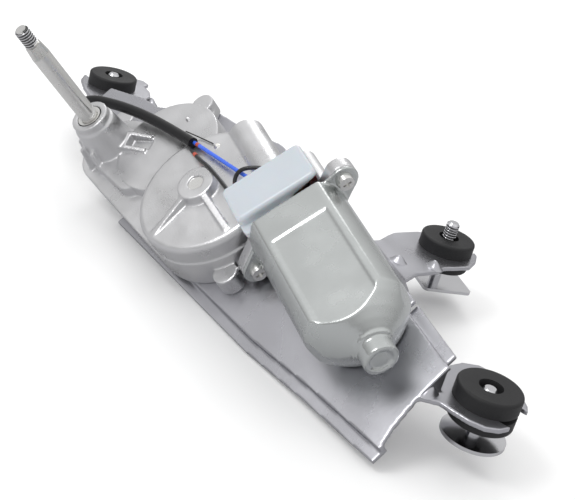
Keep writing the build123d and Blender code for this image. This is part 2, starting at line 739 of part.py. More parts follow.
# ---------------------------------------------------------------- motor shaft with its worm
worm_turns = 6
worm_pitch = pi * gear_module
worm_root = worm_pitch_radius - 0.7 * gear_module
worm_tip = worm_pitch_radius + 0.6 * gear_module
worm_start = wheel_centre[0] - worm_turns * worm_pitch / 2
bore_radius = tunnel_radius - case_wall
shaft_start = tunnel_start + case_wall + 1.5
yoke_end = mouth_x + yoke_length
shaft_end = yoke_end + yoke_boss_length - 4
thread_path = motor.offset(worm_start).location * Helix(
    pitch=worm_pitch, height=worm_turns * worm_pitch, radius=worm_root
)
with BuildPart() as motor_shaft:
    with BuildSketch(motor.offset(shaft_start)):
        Circle(motor_shaft_radius)
    extrude(amount=shaft_end - shaft_start)
    with BuildSketch(motor.offset(worm_start)):
        Circle(worm_root)
    extrude(amount=worm_turns * worm_pitch)
    with BuildSketch(Plane(origin=thread_path @ 0, x_dir=motor.x_dir, z_dir=thread_path % 0)):
        Polygon((-0.4, -0.75), (worm_tip - worm_root, -0.45), (worm_tip - worm_root, 0.45), (-0.4, 0.75), align=None)
    sweep(path=thread_path, is_frenet=True)
save(motor_shaft, "motor_shaft")

# ---------------------------------------------------------------- rotor, bushes and yoke
rotor_start = mouth_x + commutator_room
winding_length = 6.0
rotor_length = yoke_length - (rotor_start - mouth_x) - winding_length - rotor_room
winding_radius = rotor_radius - 1.2
slot_width = 3.2
slot_floor = 6.0
commutator_start = mouth_x + 2.5
commutator_length = 9.0
bar_groove = 0.6
slot_turns = [360 / rotor_slots * index for index in range(rotor_slots)]


def slot_shape(reach, width):
    """The slots of the rotor, as one sketch of radial bars from their floor outwards."""
    for turn in slot_turns:
        with Locations(Location((0, 0, 0), (0, 0, turn))):
            with Locations((slot_floor, 0)):
                Rectangle(reach - slot_floor, width, align=(Align.MIN, Align.CENTER))


with BuildPart() as rotor_core:
    with BuildSketch(motor.offset(rotor_start)):
        Circle(rotor_radius)
        Circle(motor_shaft_radius, mode=Mode.SUBTRACT)
    extrude(amount=rotor_length)
    with BuildSketch(motor.offset(rotor_start)) as slots:
        slot_shape(rotor_radius + 1, slot_width)
    extrude(amount=rotor_length, mode=Mode.SUBTRACT)
save(rotor_core, "rotor_core")

with BuildPart() as rotor_windings:
    for start in (rotor_start - winding_length, rotor_start + rotor_length):
        ring(motor.offset(start), winding_radius, motor_shaft_radius + 1, winding_length)
    with BuildSketch(motor.offset(rotor_start)):
        slot_shape(winding_radius, slot_width)
    extrude(amount=rotor_length)
save(rotor_windings, "rotor_windings")

with BuildPart() as commutator:
    ring(motor.offset(commutator_start), commutator_radius, motor_shaft_radius, commutator_length)
    with BuildSketch(motor.offset(commutator_start)):
        for turn in slot_turns:
            with Locations(Location((0, 0, 0), (0, 0, turn + 180 / rotor_slots))):
                with Locations((commutator_radius, 0)):
                    Rectangle(2 * bar_groove, bar_groove)
    extrude(amount=commutator_length, mode=Mode.SUBTRACT)
save(commutator, "commutator")

rear_bore = yoke_boss_radius - yoke_wall
middle_bush_start = cavity_start - bush_length + 1
with BuildPart() as front_bush:
    ring(motor.offset(tunnel_start + case_wall), bore_radius, motor_shaft_radius + running, bush_length)
save(front_bush, "front_bush")
with BuildPart() as middle_bush:
    ring(motor.offset(middle_bush_start), bore_radius, motor_shaft_radius + running, bush_length - 1)
save(middle_bush, "middle_bush")
with BuildPart() as rear_bush:
    ring(motor.offset(shaft_end - bush_length - 1), rear_bore, motor_shaft_radius + running, bush_length)
save(rear_bush, "rear_bush")
with BuildPart() as thrust_disc:
    with BuildSketch(motor.offset(shaft_end + 0.1)):
        Circle(rear_bore)
    extrude(amount=yoke_end + yoke_boss_length - yoke_wall - shaft_end - 0.1)
save(thrust_disc, "thrust_disc")

end_drops = [(yoke_shoulder, 0.0), (9.0, 2.4), (5.0, 6.0), (2.2, 9.2), (0.0, 12.2)]    # back from the end, inwards
end_wall = 1.4 * yoke_wall
end_recess = 0.8
panel_start, panel_half, panel_depth = 15.2, 12.5, 0.4     # shallow panel pressed into the upper flat
facet_back, facet_depth = 15.0, 7.5                        # flats pressed into the end's two round sides


def can_section(inset):
    """The motor's section: round sides with two flats, inset by a wall."""
    Circle(yoke_radius - inset)
    Rectangle(2 * yoke_radius, 2 * (yoke_half_height - inset), mode=Mode.INTERSECT)


def end_profile(inset, steps):
    """Corners of half the drawn-in can along its axis, inset by a wall, up to a step of its end."""
    drawn = [(yoke_end - back, yoke_radius - drop - inset) for back, drop in steps]
    return [(mouth_x, 0), (mouth_x, drawn[0][1]), *drawn, (drawn[-1][0], 0)]


with BuildPart() as yoke_hollow:
    with BuildSketch(motor.offset(mouth_x)):
        can_section(yoke_wall)
    extrude(amount=yoke_length)
    with BuildSketch(motor_section):
        with BuildLine():
            Polyline(*end_profile(end_wall, end_drops[:-1]), close=True)
        make_face()
    revolve(axis=motor_axis, mode=Mode.INTERSECT)
    with BuildSketch(motor.offset(mouth_x)):
        can_section(yoke_wall)
    extrude(amount=yoke_length - yoke_shoulder - yoke_wall)
with BuildPart() as yoke:
    with BuildSketch(motor.offset(mouth_x)):
        can_section(0)
    extrude(amount=yoke_length)
    fillet(yoke.edges().filter_by(Axis(motor.origin, motor_dir)), radius=yoke_ridge)
    with BuildSketch(motor_section):
        with BuildLine():
            Polyline(*end_profile(0, end_drops), close=True)
        make_face()
    revolve(axis=motor_axis, mode=Mode.INTERSECT)
    with BuildSketch(level(motor_height)):
        for side in (1, -1):
            with BuildLine():
                Polyline(
                    (yoke_end - facet_back, motor_side + side * yoke_radius),
                    (yoke_end, motor_side + side * (yoke_radius - facet_depth)),
                    (yoke_end, motor_side + side * (yoke_radius + 1)),
                    (yoke_end - facet_back, motor_side + side * (yoke_radius + 1)), close=True,
                )
            make_face()
    extrude(amount=yoke_radius, both=True, mode=Mode.SUBTRACT)
    with BuildSketch(level(motor_height + yoke_half_height - panel_depth)):
        with Locations((mouth_x + panel_start, motor_side)):
            Rectangle(yoke_length - panel_start, 2 * panel_half, align=(Align.MIN, Align.CENTER))
    extrude(amount=panel_depth, mode=Mode.SUBTRACT)
    with BuildSketch(motor.offset(mouth_x)):
        for side in (1, -1):
            yoke_ear_shape(side, yoke_ear)
    extrude(amount=flange_thickness)
    with BuildSketch(motor.offset(yoke_end)):
        Circle(yoke_boss_radius)
    extrude(amount=yoke_boss_length)
    collar = 1.5
    with BuildSketch(motor.offset(yoke_end)):
        Circle(yoke_boss_radius + collar)
    extrude(amount=collar)
    add(yoke_hollow.part, mode=Mode.SUBTRACT)
    with BuildSketch(motor.offset(mouth_x)):
        Circle(rear_bore)
    extrude(amount=yoke_length + yoke_boss_length - yoke_wall, mode=Mode.SUBTRACT)
    with BuildSketch(motor.offset(yoke_end + yoke_boss_length)):
        Circle(yoke_boss_radius - 2.2)
    extrude(amount=-end_recess, mode=Mode.SUBTRACT)
    with BuildSketch(motor.offset(mouth_x)):
        with Locations(*yoke_screw_places):
            Circle(screw_radius)
    extrude(amount=flange_thickness, mode=Mode.SUBTRACT)
save(yoke, "yoke")

with BuildPart() as yoke_screws:
    for x, y in yoke_screw_places:
        seat = Plane(
            origin=motor.from_local_coords((x, y, mouth_x + flange_thickness)), x_dir=motor.x_dir, z_dir=motor_dir
        )
        pan_screw(seat, screw_radius, flange_thickness + ear_thickness, screw_head, screw_head_height)
save(yoke_screws, "yoke_screws")

# permanent magnets: two shells held against the yoke's short sides
magnet_bore = rotor_radius + magnet_gap
magnet_overhang = 2.0
for name, side in (("magnet_near", -1), ("magnet_far", 1)):
    with BuildPart() as magnet:
        with BuildSketch(motor.offset(rotor_start - magnet_overhang)):
            can_section(yoke_wall)
            Circle(magnet_bore, mode=Mode.SUBTRACT)
            with Locations((side * magnet_bore / 2, 0)):
                Rectangle(
                    yoke_radius, 2 * yoke_half_height, mode=Mode.INTERSECT,
                    align=(Align.MAX if side < 0 else Align.MIN, Align.CENTER),
                )
        extrude(amount=rotor_length + 2 * magnet_overhang)
    save(magnet, name)

# ---------------------------------------------------------------- brush card, brushes and terminals
card_inset = 7.0
card_start = mouth_x - card_inset
card_thickness = 2.5
holder_reach = 11.5
holder_end = mouth_x + holder_reach
holder_height = 8.0
holder_outside = 17.0
brush_width, brush_length, brush_depth = 4.6, 5.6, 6.0
spring_radius = 1.8
with BuildPart() as brush_card:
    with BuildSketch(motor.offset(card_start)):
        with Locations((0, neck_centre)):
            RectangleRounded(2 * neck_inner, neck_depth - 2 * case_wall, 3)
        Circle(commutator_radius + 1, mode=Mode.SUBTRACT)
    extrude(amount=card_thickness)
    for side in (1, -1):
        align = (Align.MIN if side > 0 else Align.MAX, Align.CENTER)
        with BuildSketch(motor.offset(card_start)):
            with Locations((side * (commutator_radius + 1), 0)):
                Rectangle(holder_outside - commutator_radius - 1, holder_height, align=align)
        extrude(amount=holder_end - card_start)
        with BuildSketch(motor.offset(holder_end - 1.5)):
            with Locations((side * (commutator_radius + 1), 0)):
                Rectangle(holder_outside - commutator_radius - 2.5, brush_width, align=align)
        extrude(amount=-brush_length, mode=Mode.SUBTRACT)
save(brush_card, "brush_card")

brush_start = holder_end - 1.5 - brush_length
brush_tip = commutator_radius + 0.15
brush_gap = 0.1
spring_end = holder_outside - 1.5
for name, side in (("brush_near", -1), ("brush_far", 1)):
    align = (Align.MIN if side > 0 else Align.MAX, Align.CENTER)
    with BuildPart() as brush:
        with BuildSketch(motor.offset(brush_start + brush_gap)):
            with Locations((side * brush_tip, 0)):
                Rectangle(brush_depth, brush_width - 2 * brush_gap, align=align)
        extrude(amount=brush_length - 2 * brush_gap)
    save(brush, name)
with BuildPart() as brush_springs:
    for side in (1, -1):
        start = motor.from_local_coords((side * (brush_tip + brush_depth), 0, brush_start + brush_length / 2))
        with BuildSketch(Plane(origin=start, x_dir=motor_dir, z_dir=motor.x_dir * side)):
            Circle(spring_radius)
            Circle(spring_radius - 0.5, mode=Mode.SUBTRACT)
        extrude(amount=spring_end - brush_tip - brush_depth)
save(brush_springs, "brush_springs")

cover_start = 84.0          # terminal cover, along the unit's X
cover_step = 105.5          # its roof drops to a lip here
cover_side = 54.8           # its middle, along the unit's Y
cover_half = 18.8
cover_height = 31.8
lip_height = 27.2
cover_skin = 1.4
cover_gap = 0.2
terminal_width, terminal_thickness = 5.0, 0.8
terminal_offsets = (-7.0, 7.0)
terminal_top = cover_height - 2.6
with BuildPart() as terminals:
    for offset_y in terminal_offsets:
        with BuildSketch(motor.offset(card_start - terminal_thickness)):
            with Locations((offset_y, neck_centre + neck_depth / 2 - case_wall - 4)):
                Rectangle(
                    terminal_width, terminal_top - neck_height + case_wall + 4, align=(Align.CENTER, Align.MIN)
                )
        extrude(amount=terminal_thickness)
save(terminals, "terminals")

with BuildPart() as terminal_cover:
    for end, top in ((cover_step, cover_height), (mouth_x, lip_height)):
        with BuildSketch(level(neck_height)):
            with Locations((cover_start, cover_side)):
                RectangleRounded(end - cover_start, 2 * cover_half, 2.5, align=(Align.MIN, Align.CENTER))
        extrude(amount=top - neck_height)
    fillet(terminal_cover.faces().sort_by(Axis((0, 0, 0), shaft_dir))[-1].edges(), radius=2)
    for end, top in ((cover_step, cover_height), (mouth_x, lip_height)):
        with BuildSketch(level(neck_height)):
            with Locations((cover_start + cover_skin, cover_side)):
                Rectangle(
                    end - cover_start - 2 * cover_skin, 2 * (cover_half - cover_skin),
                    align=(Align.MIN, Align.CENTER),
                )
        extrude(amount=top - neck_height - cover_skin, mode=Mode.SUBTRACT)
    with BuildSketch(motor.offset(mouth_x - ear_thickness - cover_gap)):
        for side in (1, -1):
            yoke_ear_shape(side, yoke_ear + cover_gap)
    extrude(amount=ear_thickness + cover_gap, mode=Mode.SUBTRACT)
save(terminal_cover, "terminal_cover")

# ---------------------------------------------------------------- wires, sleeve and connector
sleeve_radius = 2.5
wire_radius = 0.9
floor_z = bracket.part.bounding_box().min.Z          # surface that the motor stands on
cord_rest = floor_z + sleeve_radius
sleeve_route = [
    (49.0, 26.0, 8.2), (20.1, 25.6, 5.7), (-8.2, 20.1, 2.1), (-29.0, 12.0, -3.0), (-47.0, 23.0, -20.0),
    (-56.0, 38.0, -38.0), (-44.0, 60.0, cord_rest), (-14.0, 80.0, cord_rest), (20.0, 80.0, cord_rest),
]
wire_routes = {              # along the unit: x, y and height above the plate
    "wire_blue": [(40.4, 35.3, 25.6), (57.6, 40.8, 26.4), (74.6, 46.0, 27.6), (84, 49.0, 28.4)],
    "wire_black": [(41.6, 32.8, 25.4), (52.0, 33.4, 26.4), (66, 37.2, 28.6), (84, 38.8, 28.4)],
    "wire_lead": [(84, 41.5, 26.5), (79.4, 42.5, 28.6), (78.6, 49.5, 31.4), (84, 56.5, 28.6)],
}


def bend_radii(points):
    """The largest tangent arcs that the runs of a route leave room for."""
    radii = []
    for before, corner, after in zip(points, points[1:], points[2:]):
        run, following = Vector(*corner) - Vector(*before), Vector(*after) - Vector(*corner)
        half_turn = radians(run.get_angle(following) / 2)
        radii.append(0.45 * min(run.length, following.length) / tan(half_turn))
    return radii


for name, radius, points in [("cable_sleeve", sleeve_radius, sleeve_route)] + [
    (name, wire_radius, [tuple(unit_base.from_local_coords(place)) for place in places])
    for name, places in wire_routes.items()
]:
    radii = bend_radii(points)
    with BuildPart() as cord:
        with BuildLine() as route:
            FilletPolyline(*points, radius=radii)
        with BuildSketch(Plane(origin=route.line @ 0, z_dir=route.line % 0)):
            Circle(radius)
        sweep(path=route.line, transition=Transition.ROUND)
    length = sum(edge.length for edge in route.edges())
    share = cord.part.volume / (pi * radius ** 2 * length)
    print(name, "length", round(length, 1), "bend radii", [round(value, 1) for value in radii],
          "volume share", round(share, 4))
    save(cord, name)

plug_length, plug_width, plug_height = 22.0, 13.0, 9.0
plug_boot = 6.0
sleeve_end = Vector(*sleeve_route[-1])
plug_dir = (sleeve_end - Vector(*sleeve_route[-2])).normalized()
boot_radius = sleeve_radius + 1.2
side_dir = Vector(0, 0, 1).cross(plug_dir)
with BuildPart() as connector:
    # boot round the sleeve's end, flat where it lies on the ground
    with BuildSketch(Plane(origin=sleeve_end, x_dir=side_dir, z_dir=plug_dir)):
        Circle(boot_radius)
        with Locations((0, -sleeve_radius)):
            Rectangle(2 * boot_radius, 2 * boot_radius, align=(Align.CENTER, Align.MIN), mode=Mode.INTERSECT)
    extrude(amount=plug_boot)
    body = Plane(origin=(sleeve_end.X, sleeve_end.Y, floor_z), x_dir=plug_dir, z_dir=(0, 0, 1))
    with BuildSketch(body):
        with Locations((plug_boot, 0)):
            Rectangle(plug_length, plug_width, align=(Align.MIN, Align.CENTER))
    extrude(amount=plug_height)
    mouth = Plane(origin=body.from_local_coords((plug_boot + plug_length, 0, plug_height / 2)), x_dir=side_dir,
                  z_dir=plug_dir)
    with BuildSketch(mouth):
        Rectangle(plug_width - 3, plug_height - 3)
    extrude(amount=-plug_length / 2, mode=Mode.SUBTRACT)
save(connector, "connector")
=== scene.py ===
"""Looks of a rear wiper motor: materials, rounded castings and sheet metal, and its wiring.

All lengths are metres in the row frame: +Z along the ear bolts, the origin at the mouth of the
casting's tower.
"""
from math import cos, radians, sin

import bpy
from mathutils import Matrix, Vector


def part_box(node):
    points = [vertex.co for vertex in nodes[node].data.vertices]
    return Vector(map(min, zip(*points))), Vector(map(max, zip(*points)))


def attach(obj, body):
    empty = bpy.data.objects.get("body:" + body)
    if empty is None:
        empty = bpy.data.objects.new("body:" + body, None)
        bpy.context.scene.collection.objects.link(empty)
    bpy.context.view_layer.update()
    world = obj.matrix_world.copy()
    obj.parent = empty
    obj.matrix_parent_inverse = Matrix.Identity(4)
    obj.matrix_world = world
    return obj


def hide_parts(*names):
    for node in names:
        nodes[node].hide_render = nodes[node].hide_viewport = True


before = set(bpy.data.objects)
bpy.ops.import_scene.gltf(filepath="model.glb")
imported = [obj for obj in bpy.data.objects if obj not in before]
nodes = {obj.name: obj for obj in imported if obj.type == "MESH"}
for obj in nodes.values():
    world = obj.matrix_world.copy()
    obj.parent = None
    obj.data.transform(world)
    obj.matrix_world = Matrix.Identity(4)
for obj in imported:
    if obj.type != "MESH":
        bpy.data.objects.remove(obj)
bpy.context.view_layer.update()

# ---------------------------------------------------------------- view
# A short telephoto view from the right of the bracket, above the floor by a quarter of a
# right angle.
camera_data = bpy.data.cameras.new("camera")
camera_data.sensor_width = 36
camera_data.lens = 70.8
camera = bpy.data.objects.new("camera", camera_data)
camera_place = (0.4349, -0.2454, 0.1802)
right, up = Vector((0.5531, 0.7937, 0.2533)), Vector((-0.4766, 0.0521, 0.8776))
back = right.cross(up).normalized()
camera.matrix_world = Matrix.Translation(camera_place) @ Matrix((right, up, back)).transposed().to_4x4()
bpy.context.scene.collection.objects.link(camera)
bpy.context.scene.camera = camera


# ---------------------------------------------------------------- sleeve of the wiring
# A black vinyl sleeve holds the leads together. It runs from the casting over the chamber, down
# past the bracket's end, and along the floor behind it to the connector.
bump_depth = 0.0003


def surface(name, colour, metallic=0.0, roughness=0.5, mottle=0.06, grain=1500, patch=60, relief=0.05,
            spread=0.08, stretch=(1, 1, 1), **sockets):
    """A Principled surface broken up by noise of two sizes.

    Broad noise, of scale patch, varies the colour by mottle and the roughness by spread. Fine noise,
    of scale grain, gives the relief.
    """
    material = bpy.data.materials.new(name)
    material.use_nodes = True
    tree = material.node_tree
    shader = tree.nodes["Principled BSDF"]
    shader.inputs["Metallic"].default_value = metallic
    for socket, value in sockets.items():
        shader.inputs[socket.replace("_", " ")].default_value = value
    place = tree.nodes.new("ShaderNodeTexCoord")
    mapping = tree.nodes.new("ShaderNodeMapping")
    mapping.inputs["Scale"].default_value = stretch
    tree.links.new(place.outputs["Object"], mapping.inputs["Vector"])
    fine = tree.nodes.new("ShaderNodeTexNoise")
    fine.inputs["Scale"].default_value = grain
    fine.inputs["Detail"].default_value = 3
    tree.links.new(mapping.outputs["Vector"], fine.inputs["Vector"])
    broad = tree.nodes.new("ShaderNodeTexNoise")
    broad.inputs["Scale"].default_value = patch
    broad.inputs["Detail"].default_value = 5
    tree.links.new(place.outputs["Object"], broad.inputs["Vector"])
    tint = tree.nodes.new("ShaderNodeMix")
    tint.data_type = "RGBA"
    tint.inputs["A"].default_value = (*[channel * (1 - mottle) for channel in colour], 1)
    tint.inputs["B"].default_value = (*[min(1, channel * (1 + mottle)) for channel in colour], 1)
    tree.links.new(broad.outputs["Fac"], tint.inputs["Factor"])
    tree.links.new(tint.outputs["Result"], shader.inputs["Base Color"])
    rough = tree.nodes.new("ShaderNodeMapRange")
    rough.inputs["From Min"].default_value = 0.3
    rough.inputs["From Max"].default_value = 0.7
    rough.inputs["To Min"].default_value = max(0.02, roughness - spread)
    rough.inputs["To Max"].default_value = min(1, roughness + spread)
    tree.links.new(broad.outputs["Fac"], rough.inputs["Value"])
    tree.links.new(rough.outputs["Result"], shader.inputs["Roughness"])
    bump = tree.nodes.new("ShaderNodeBump")
    bump.inputs["Strength"].default_value = relief
    bump.inputs["Distance"].default_value = bump_depth
    tree.links.new(fine.outputs["Fac"], bump.inputs["Height"])
    tree.links.new(bump.outputs["Normal"], shader.inputs["Normal"])
    return material


def cable(name, route, radius, material):
    """A round cable along a smooth line that the route's points control."""
    curve = bpy.data.curves.new(name, "CURVE")
    curve.dimensions = "3D"
    curve.bevel_depth = radius
    curve.bevel_resolution = 5
    curve.use_fill_caps = True
    curve.resolution_u = 16
    spline = curve.splines.new("NURBS")
    spline.points.add(len(route) - 1)
    for point, place in zip(spline.points, route):
        point.co = (*place, 1)
    spline.order_u = 3
    spline.use_endpoint_u = True
    piece = bpy.data.objects.new(name, curve)
    curve.materials.append(material)
    bpy.context.scene.collection.objects.link(piece)
    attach(piece, "housing")
    return piece


vinyl = surface("black vinyl", (0.007, 0.007, 0.008), roughness=0.34, grain=900, relief=0.08, mottle=0.2,
                Specular_IOR_Level=0.3)
floor_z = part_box("bracket")[0].z
sleeve_radius = 0.0025
rest_z = floor_z + sleeve_radius
sleeve_route = [
    (0.049, 0.026, 0.0082), (0.0201, 0.0256, 0.0057), (-0.0082, 0.0201, 0.0021), (-0.029, 0.012, -0.003),
    (-0.047, 0.023, -0.020), (-0.056, 0.038, -0.038), (-0.044, 0.060, rest_z), (-0.014, 0.080, rest_z),
    (0.020, 0.080, rest_z),
]
sleeve = cable("sleeve", sleeve_route, sleeve_radius, vinyl)
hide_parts("cable_sleeve")

# ---------------------------------------------------------------- leads
# Three thin vinyl leads: blue and black come out of the sleeve and go under the terminal cover,
# and a short black one loops back into it. Printed red rings mark them.
unit_base = 39                  # of the unit's plate below the tower's mouth, in mm
lean, turn = radians(46), radians(-14)
shaft_dir = Vector((0, -sin(lean), cos(lean)))
motor_dir = Vector((cos(turn), sin(turn) * cos(lean), sin(turn) * sin(lean)))
cross_dir = shaft_dir.cross(motor_dir)


def on_unit(x, y, height):
    """A place on the geared unit, from millimetres along and across its motor and above its plate."""
    return (motor_dir * x + cross_dir * y + shaft_dir * (height - unit_base)) / 1000


lead_radius = 0.0009
ring_swell = 1.1                # rings against the lead's radius
blue_vinyl = surface("blue vinyl", (0.05, 0.14, 0.72), roughness=0.30, relief=0.04, mottle=0.08)
lead_black = surface("lead vinyl", (0.014, 0.014, 0.015), roughness=0.30, grain=900, relief=0.06, mottle=0.2)
ring_red = surface("red ring print", (0.42, 0.07, 0.04), roughness=0.4, relief=0.03, mottle=0.15)
lead_routes = (
    ("blue_lead", "wire_blue", blue_vinyl, "blue_vinyl",
     [(40.4, 35.3, 25.6), (57.6, 40.8, 26.4), (74.6, 46.0, 27.6), (84, 49.0, 28.4)]),
    ("black_lead", "wire_black", lead_black, "black_vinyl",
     [(41.6, 32.8, 25.4), (52.0, 33.4, 26.4), (66, 37.2, 28.6), (84, 38.8, 28.4)]),
    ("short_lead", "wire_lead", lead_black, "black_vinyl",
     [(84, 41.5, 26.5), (79.4, 42.5, 28.6), (78.6, 49.5, 31.4), (84, 56.5, 28.6)]),
)
for name, node, material, slot, places in lead_routes:
    route = [on_unit(*place) for place in places]
    lead = cable(name, route, lead_radius, material)
    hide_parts(node)
for name, start, end in (
    ("blue_lead_ring", (43.6, 36.35, 25.73), (45.6, 37.0, 25.82)),
    ("black_lead_ring", (48.9, 33.45, 26.2), (51.2, 33.8, 26.5)),
):
    cable(name, [on_unit(*start), on_unit(*end)], lead_radius * ring_swell, ring_red)


# ---------------------------------------------------------------- connector
# The plug housing on the sleeve's end is moulded of glass-filled black plastic, with a dull and
# slightly grainy skin.
def dress(material, *names):
    """Give CAD nodes their material."""
    for name in names:
        nodes[name].data.materials.clear()
        nodes[name].data.materials.append(material)


housing = surface("black housing", (0.025, 0.025, 0.027), roughness=0.45, relief=0.2, mottle=0.2)
dress(housing, "connector")


# ---------------------------------------------------------------- bracket
# Sheet steel, pressed to shape and zinc plated. The press rounds its edges and folds, and raises
# the low beads that stiffen the ears at their roots.
weld_reach = 1e-6


def softened(node, voxel, passes, keep, material):
    """A copy of a node with its edges relaxed, which stands for the node."""
    piece = nodes[node].copy()
    piece.data = nodes[node].data.copy()
    piece.name = node + "_skin"
    for key in [key for key in piece.keys() if key.startswith("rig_")]:
        del piece[key]
    piece.parent = None
    bpy.context.scene.collection.objects.link(piece)
    weld = piece.modifiers.new("weld", "WELD")
    weld.merge_threshold = weld_reach
    remesh = piece.modifiers.new("remesh", "REMESH")
    remesh.mode = "VOXEL"
    remesh.voxel_size = voxel
    relax = piece.modifiers.new("relax", "SMOOTH")
    relax.factor = 0.5
    relax.iterations = passes
    thin = piece.modifiers.new("thin", "DECIMATE")
    thin.decimate_type = "COLLAPSE"
    thin.ratio = keep
    depsgraph = bpy.context.evaluated_depsgraph_get()
    mesh = bpy.data.meshes.new_from_object(piece.evaluated_get(depsgraph))
    piece.modifiers.clear()
    piece.data = mesh
    mesh.materials.clear()
    mesh.materials.append(material)
    mesh.polygons.foreach_set("use_smooth", [True] * len(mesh.polygons))
    mesh.update()
    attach(piece, "housing")
    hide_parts(node)
    return piece


plated = surface("plated sheet", (0.47, 0.47, 0.50), metallic=0.95, roughness=0.30, grain=900, relief=0.08,
                 mottle=0.12, patch=35)
dress(plated, "bracket", "gear_cover", "connecting_rod")
softened("bracket", voxel=0.00055, passes=4, keep=0.28, material=plated)
bead_foot = 0.0003              # a bead's rim is sunk this far into its face


def bead(name, place, normal, along, length, width, height, material):
    """A low round swelling on a face, as long and as wide as given, closed underneath."""
    rings, steps = 10, 40
    across = normal.cross(along).normalized()
    points, faces = [place + normal * height], []
    for ring in range(1, rings + 1):
        share = ring / rings
        rise = height * (1 - share ** 2) ** 2 - bead_foot * share
        for step in range(steps):
            angle = radians(360 * step / steps)
            flat = along * (length / 2 * cos(angle)) + across * (width / 2 * sin(angle))
            points.append(place + flat * share + normal * rise)
    faces += [(0, 1 + step, 1 + (step + 1) % steps) for step in range(steps)]
    for ring in range(rings - 1):
        inner, outer = 1 + ring * steps, 1 + (ring + 1) * steps
        for step in range(steps):
            after = (step + 1) % steps
            faces.append((inner + step, outer + step, outer + after, inner + after))
    last = 1 + (rings - 1) * steps
    faces.append(tuple(last + step for step in reversed(range(steps))))
    mesh = bpy.data.meshes.new(name)
    mesh.from_pydata(points, [], faces)
    mesh.materials.append(material)
    mesh.polygons.foreach_set("use_smooth", [True] * len(mesh.polygons))
    piece = bpy.data.objects.new(name, mesh)
    bpy.context.scene.collection.objects.link(piece)
    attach(piece, "housing")
    return piece


ear_z = -0.0191
bead_height = 0.0030
upwards = Vector((0, 0, 1))
for name, x, y, along, length, width in (
    ("bead_a", -0.0652, 0.0731, Vector((1, -0.1, 0)), 0.012, 0.006),
    ("bead_b_near", 0.1165, 0.1030, Vector((1, 0.45, 0)), 0.010, 0.0075),
    ("bead_b_far", 0.1235, 0.1193, Vector((1, -0.3, 0)), 0.011, 0.008),
    ("bead_c", 0.2082, 0.0410, Vector((-0.2, 1, 0)), 0.011, 0.007),
):
    root = Vector((x, y, ear_z))
    bead(name, root, upwards, along.normalized(), length, width, bead_height, plated)

# ---------------------------------------------------------------- gear case
# Pressure die-cast aluminium with a fine sandy skin, brighter where the mould wore smooth. An
# ejector pin left a small raised mark on the chamber.
cast = surface("cast aluminium", (0.66, 0.66, 0.67), metallic=0.93, roughness=0.34, grain=1500, relief=0.30,
               mottle=0.12, patch=70, spread=0.12)
dress(cast, "gear_case")
softened("gear_case", voxel=0.00045, passes=3, keep=0.3, material=cast)
bead("ejector_mark", on_unit(17.0, 37.5, 19.5), shaft_dir, motor_dir, length=0.0052, width=0.0026,
     height=0.0012, material=cast)

# ---------------------------------------------------------------- earth lead
# A bare hair-thin lead runs from the sleeve to the dome, where a punch staked it down and left
# a rough bright spot.
stake = surface("staked metal", (0.85, 0.84, 0.80), metallic=0.9, roughness=0.30, grain=2600, relief=0.9)
bead("stake", on_unit(48.7, 43.4, 23.0), shaft_dir, motor_dir, length=0.0044, width=0.0040,
     height=0.0013, material=stake)
earth_route = [on_unit(29.5, 34.6, 23.9), on_unit(39, 39.0, 24.2), on_unit(47.0, 42.6, 23.9)]
earth_radius = 0.00028
cable("earth_lead", earth_route, earth_radius, lead_black)

# ---------------------------------------------------------------- rubber grommets
# Black rubber, moulded with a matt skin and snapped into the ears' forks. The shaft's seal is of
# the same rubber.
rubber = surface("moulded rubber", (0.016, 0.016, 0.017), roughness=0.55, grain=1800, relief=0.25,
                 mottle=0.25, Specular_IOR_Level=0.3)
dress(rubber, "grommet_a", "grommet_b", "grommet_c", "shaft_seal")

# ---------------------------------------------------------------- bolts of the ears
# Steel studs with a flat disc or plate at the foot, bright plated. Their threads are rolled, and a
# dark helix of painted shade fills the root between two crests.
chrome = surface("bright plating", (0.66, 0.66, 0.68), metallic=1.0, roughness=0.16, spread=0.05, grain=2500,
                 relief=0.05, mottle=0.05)
dress(chrome, "bolt_a", "bolt_b", "bolt_c")
helix_steps, section_steps = 36, 8


